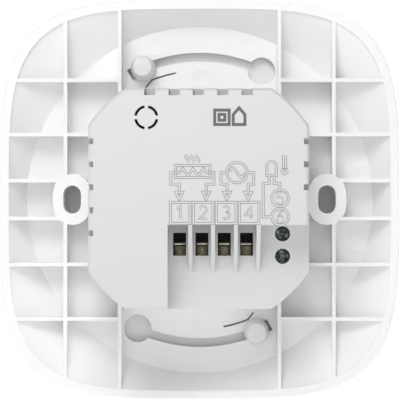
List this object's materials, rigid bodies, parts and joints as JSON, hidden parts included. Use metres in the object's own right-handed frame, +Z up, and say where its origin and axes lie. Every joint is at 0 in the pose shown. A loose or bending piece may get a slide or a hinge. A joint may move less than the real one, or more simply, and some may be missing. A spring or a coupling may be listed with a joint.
{
  "type": "wall thermostat",
  "caption": "Wall thermostat: a ribbed rounded-square plate with a rear box and screw terminals, and a round touch unit that twists on to it.",
  "frame": {"origin": "middle of the plate on the wall plane, midway between the two wall screw slots", "axes": "+Z up, +Y into the wall towards the rear box, -Y towards the room; +X is to the right seen from the room"},
  "size_m": [0.094, 0.0456, 0.094],
  "materials": {
    "white_plastic": "fine moulded texture",
    "grey_plastic": "moulded",
    "black_plastic": "moulded",
    "green_plastic": "moulded",
    "blue_plastic": "smooth",
    "circuit_board": "solder mask",
    "brass": "turned",
    "steel": "plated",
    "gold_plate": "plated",
    "ferrite": "matt",
    "yellow_tape": "film",
    "sleeve": "shrink film",
    "front_glass": "polished black",
    "screen": "smooth",
    "diffuser": "satin"
  },
  "bodies": {
    "wall_base": {"rear_housing": "white_plastic", "inner_cover": "grey_plastic", "inner_cover_screw_1": "steel", "inner_cover_screw_2": "steel", "inner_cover_screw_3": "steel", "power_board": "circuit_board", "relay": "blue_plastic", "transformer_core": "ferrite", "transformer_winding": "yellow_tape", "film_capacitor": "yellow_tape", "filter_capacitor": "sleeve", "fuse": "black_plastic", "terminal_block": "black_plastic", "terminal_cage_1": "brass", "terminal_cage_2": "brass", "terminal_cage_3": "brass", "terminal_cage_4": "brass", "sensor_block": "green_plastic", "sensor_cage_1": "steel", "sensor_cage_2": "steel", "contact_block": "black_plastic"},
    "front_unit": {"front_base": "white_plastic", "lock_peg_1": "white_plastic", "lock_peg_2": "white_plastic", "front_ring": "white_plastic", "front_screw_1": "steel", "front_screw_2": "steel", "front_screw_3": "steel", "touch_glass": "front_glass", "control_board": "circuit_board", "display_panel": "screen", "light_guide": "diffuser", "touch_spring_1": "steel", "touch_spring_2": "steel", "touch_spring_3": "steel", "touch_spring_4": "steel", "controller_chip": "black_plastic", "clock_cell": "steel", "air_sensor": "black_plastic"},
    "terminal_pad_1": {"terminal_pad_1": "brass"},
    "terminal_screw_1": {"terminal_screw_1": "brass"},
    "terminal_pad_2": {"terminal_pad_2": "brass"},
    "terminal_screw_2": {"terminal_screw_2": "brass"},
    "terminal_pad_3": {"terminal_pad_3": "brass"},
    "terminal_screw_3": {"terminal_screw_3": "brass"},
    "terminal_pad_4": {"terminal_pad_4": "brass"},
    "terminal_screw_4": {"terminal_screw_4": "brass"},
    "sensor_pad_1": {"sensor_pad_1": "steel"},
    "sensor_screw_1": {"sensor_screw_1": "steel"},
    "sensor_pad_2": {"sensor_pad_2": "steel"},
    "sensor_screw_2": {"sensor_screw_2": "steel"},
    "contact_pin_1": {"contact_pin_1": "gold_plate"},
    "contact_pin_2": {"contact_pin_2": "gold_plate"},
    "contact_pin_3": {"contact_pin_3": "gold_plate"},
    "contact_pin_4": {"contact_pin_4": "gold_plate"}
  },
  "joints": [
    {"name": "front_twist", "type": "hinge", "parent": "wall_base", "child": "front_unit", "pos_m": [0, -0.0089, 0], "axis": [0, -1, 0], "range_deg": [0, 49]},
    {"name": "terminal_pad_lift_1", "type": "slide", "parent": "wall_base", "child": "terminal_pad_1", "axis": [0, 0, 1], "range_m": [0, 0.002]},
    {"name": "terminal_screw_turn_1", "type": "hinge", "parent": "terminal_pad_1", "child": "terminal_screw_1", "pos_m": [0.0044, 0.0074, -0.0108], "axis": [0, 0, 1], "range_deg": [0, 1440]},
    {"name": "terminal_pad_lift_2", "type": "slide", "parent": "wall_base", "child": "terminal_pad_2", "axis": [0, 0, 1], "range_m": [0, 0.002]},
    {"name": "terminal_screw_turn_2", "type": "hinge", "parent": "terminal_pad_2", "child": "terminal_screw_2", "pos_m": [-0.00068, 0.0074, -0.0108], "axis": [0, 0, 1], "range_deg": [0, 1440]},
    {"name": "terminal_pad_lift_3", "type": "slide", "parent": "wall_base", "child": "terminal_pad_3", "axis": [0, 0, 1], "range_m": [0, 0.002]},
    {"name": "terminal_screw_turn_3", "type": "hinge", "parent": "terminal_pad_3", "child": "terminal_screw_3", "pos_m": [-0.00576, 0.0074, -0.0108], "axis": [0, 0, 1], "range_deg": [0, 1440]},
    {"name": "terminal_pad_lift_4", "type": "slide", "parent": "wall_base", "child": "terminal_pad_4", "axis": [0, 0, 1], "range_m": [0, 0.002]},
    {"name": "terminal_screw_turn_4", "type": "hinge", "parent": "terminal_pad_4", "child": "terminal_screw_4", "pos_m": [-0.01084, 0.0074, -0.0108], "axis": [0, 0, 1], "range_deg": [0, 1440]},
    {"name": "sensor_pad_press_1", "type": "slide", "parent": "wall_base", "child": "sensor_pad_1", "axis": [0, -1, 0], "range_m": [0, 0.0016]},
    {"name": "sensor_screw_turn_1", "type": "hinge", "parent": "sensor_pad_1", "child": "sensor_screw_1", "pos_m": [-0.019, 0.0075, -0.00795], "axis": [0, -1, 0], "range_deg": [0, 1280]},
    {"name": "sensor_pad_press_2", "type": "slide", "parent": "wall_base", "child": "sensor_pad_2", "axis": [0, -1, 0], "range_m": [0, 0.0016]},
    {"name": "sensor_screw_turn_2", "type": "hinge", "parent": "sensor_pad_2", "child": "sensor_screw_2", "pos_m": [-0.019, 0.0075, -0.01303], "axis": [0, -1, 0], "range_deg": [0, 1280]},
    {"name": "contact_pin_press_1", "type": "slide", "parent": "wall_base", "child": "contact_pin_1", "axis": [0, 1, 0], "range_m": [0, 0.0006], "stiffness_N_per_m": 400, "springref_m": -0.001},
    {"name": "contact_pin_press_2", "type": "slide", "parent": "wall_base", "child": "contact_pin_2", "axis": [0, 1, 0], "range_m": [0, 0.0006], "stiffness_N_per_m": 400, "springref_m": -0.001},
    {"name": "contact_pin_press_3", "type": "slide", "parent": "wall_base", "child": "contact_pin_3", "axis": [0, 1, 0], "range_m": [0, 0.0006], "stiffness_N_per_m": 400, "springref_m": -0.001},
    {"name": "contact_pin_press_4", "type": "slide", "parent": "wall_base", "child": "contact_pin_4", "axis": [0, 1, 0], "range_m": [0, 0.0006], "stiffness_N_per_m": 400, "springref_m": -0.001}
  ],
  "couplings": [
    {"joint": "terminal_screw_turn_1", "follows": "terminal_pad_lift_1", "rad_per_m": 12566},
    {"joint": "terminal_screw_turn_2", "follows": "terminal_pad_lift_2", "rad_per_m": 12566},
    {"joint": "terminal_screw_turn_3", "follows": "terminal_pad_lift_3", "rad_per_m": 12566},
    {"joint": "terminal_screw_turn_4", "follows": "terminal_pad_lift_4", "rad_per_m": 12566},
    {"joint": "sensor_screw_turn_1", "follows": "sensor_pad_press_1", "rad_per_m": 13962},
    {"joint": "sensor_screw_turn_2", "follows": "sensor_pad_press_2", "rad_per_m": 13962}
  ]
}
